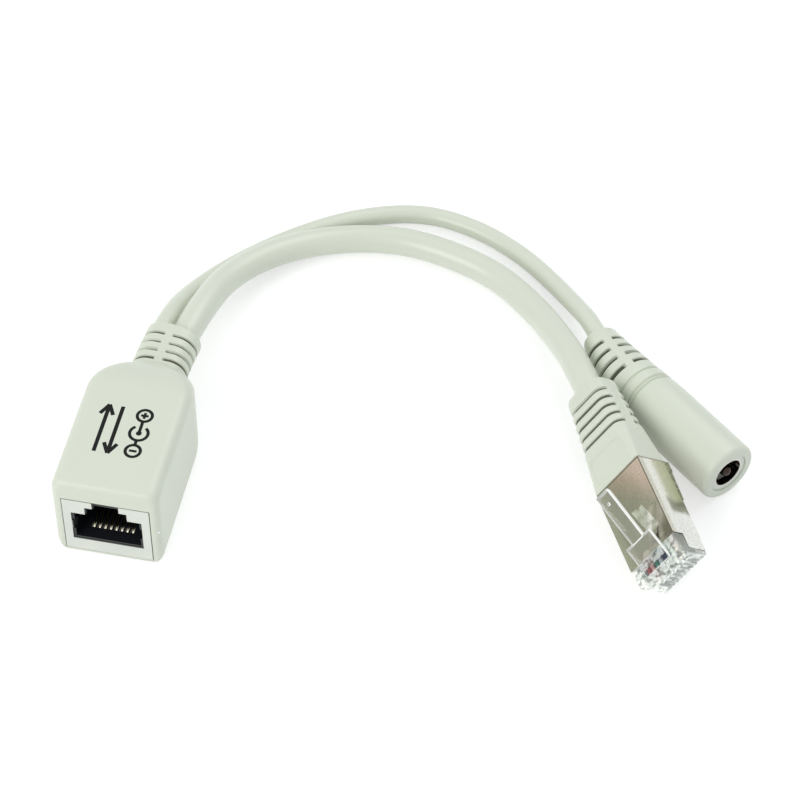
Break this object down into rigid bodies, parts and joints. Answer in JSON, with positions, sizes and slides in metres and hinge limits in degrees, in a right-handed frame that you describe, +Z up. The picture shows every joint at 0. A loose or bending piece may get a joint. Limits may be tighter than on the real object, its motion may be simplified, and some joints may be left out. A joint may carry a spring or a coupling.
{
  "type": "passive power over ethernet injector",
  "caption": "Passive power over Ethernet injector: a moulded jack housing with a data cable to a shielded modular plug and a thinner power lead to a round DC socket.",
  "frame": {"origin": "centre of the flat underside of the jack housing", "axes": "+Z up from the surface the part lies on, +Y from the jack's mouth towards the leads, +X towards the side on which the plug and the DC socket lie"},
  "size_m": [0.1194, 0.095, 0.0185],
  "materials": {
    "moulding": "soft satin PVC moulding, pale grey with a green cast",
    "cable_jacket": "soft satin PVC jacket, the same pale grey as the mouldings",
    "shield_metal": "bright nickel plated sheet",
    "black_plastic": "black moulded thermoplastic",
    "gold": "gold plated spring wire and blades",
    "circuit_board": "green solder mask over glass fibre",
    "filler": "milky white polyethylene",
    "clear_plastic": "clear polycarbonate, polished",
    "wire_pale_orange": "solid insulation",
    "wire_orange": "solid insulation",
    "wire_pale_green": "solid insulation",
    "wire_green": "solid insulation",
    "wire_pale_blue": "solid insulation",
    "wire_blue": "solid insulation",
    "wire_pale_brown": "solid insulation",
    "wire_brown": "solid insulation",
    "core_red": "solid insulation",
    "core_black": "solid insulation",
    "socket_plastic": "grey moulded thermoplastic",
    "socket_metal": "nickel plated brass"
  },
  "bodies": {
    "root": {"data_cable": "cable_jacket", "data_core_1": "wire_orange", "data_core_2": "wire_pale_orange", "data_core_3": "wire_green", "data_core_4": "wire_pale_green", "inner_filler": "filler", "jack_board": "circuit_board", "jack_contact_1": "gold", "jack_contact_2": "gold", "jack_contact_3": "gold", "jack_contact_4": "gold", "jack_contact_5": "gold", "jack_contact_6": "gold", "jack_contact_7": "gold", "jack_contact_8": "gold", "jack_housing": "moulding", "jack_insert": "black_plastic", "jack_shield": "shield_metal", "plug_body": "clear_plastic", "plug_boot": "moulding", "plug_contact_1": "gold", "plug_contact_2": "gold", "plug_contact_3": "gold", "plug_contact_4": "gold", "plug_contact_5": "gold", "plug_contact_6": "gold", "plug_contact_7": "gold", "plug_contact_8": "gold", "plug_load_bar": "filler", "plug_shield": "shield_metal", "plug_wire_1": "wire_pale_orange", "plug_wire_2": "wire_orange", "plug_wire_3": "wire_pale_green", "plug_wire_4": "wire_blue", "plug_wire_5": "wire_pale_blue", "plug_wire_6": "wire_green", "plug_wire_7": "wire_pale_brown", "plug_wire_8": "wire_brown", "power_cable": "cable_jacket", "power_core_negative": "core_black", "power_core_positive": "core_red", "socket_core_negative": "core_black", "socket_core_positive": "core_red", "socket_housing": "moulding", "socket_insert": "socket_plastic", "socket_pin": "socket_metal", "socket_sleeve": "socket_metal", "socket_spring": "socket_metal"}
  },
  "joints": []
}
